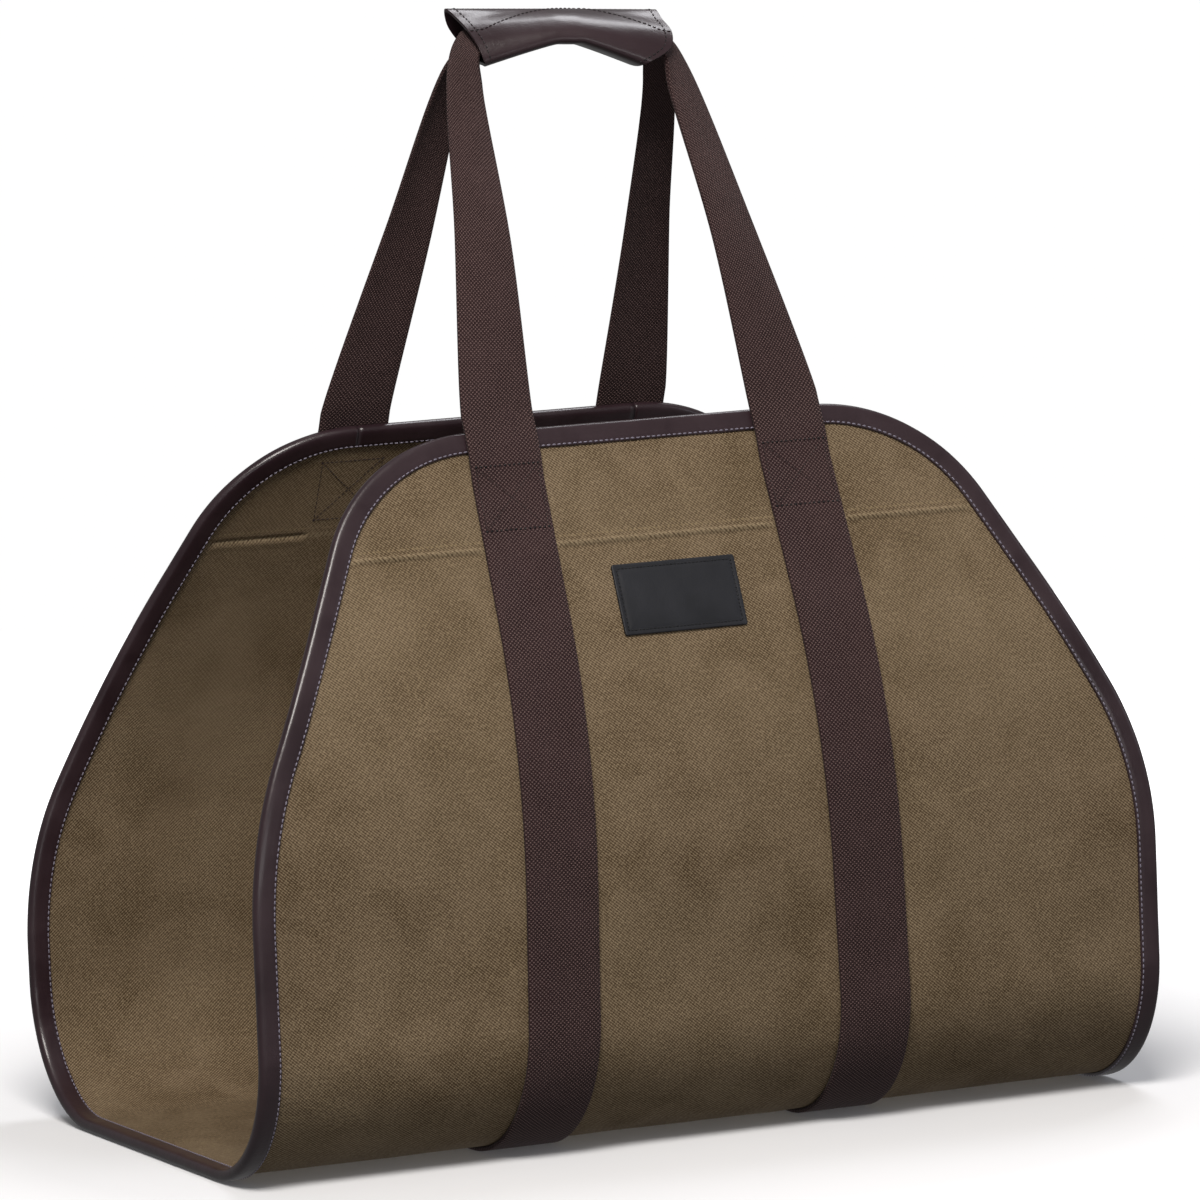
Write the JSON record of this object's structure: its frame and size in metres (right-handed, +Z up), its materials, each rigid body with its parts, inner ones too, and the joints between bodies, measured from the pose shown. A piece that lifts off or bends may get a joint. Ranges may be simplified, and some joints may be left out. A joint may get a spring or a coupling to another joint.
{
  "type": "firewood carrier tote",
  "caption": "Open-ended firewood carrier: a canvas panel hanging as a U, edged in leather, carried by webbing loops that meet in a leather hand wrap.",
  "frame": {"origin": "Under the middle of the base, at the undersides of the webbing that the tote stands on.", "axes": "+Z up to the hand wrap, X along the logs from open end to open end, -Y towards the end that carries the label."},
  "size_m": [0.4862, 0.303, 0.5522],
  "materials": {
    "canvas": "waxed cotton canvas, khaki brown, soft scuffs",
    "webbing": "heavy cotton webbing, dark burgundy brown, matt",
    "binding": "smooth dark brown leather binding, stitched, soft gloss",
    "wrap": "smooth dark brown leather, glossy, stitched",
    "label": "blank blue-black leather patch, stitched border"
  },
  "bodies": {
    "root": {"canvas_body": "canvas", "binding_left": "binding", "binding_right": "binding", "binding_front_top": "binding", "binding_back_top": "binding", "front_webbing": "webbing", "back_webbing": "webbing", "handle_wrap": "wrap", "label_patch": "label"}
  },
  "joints": []
}
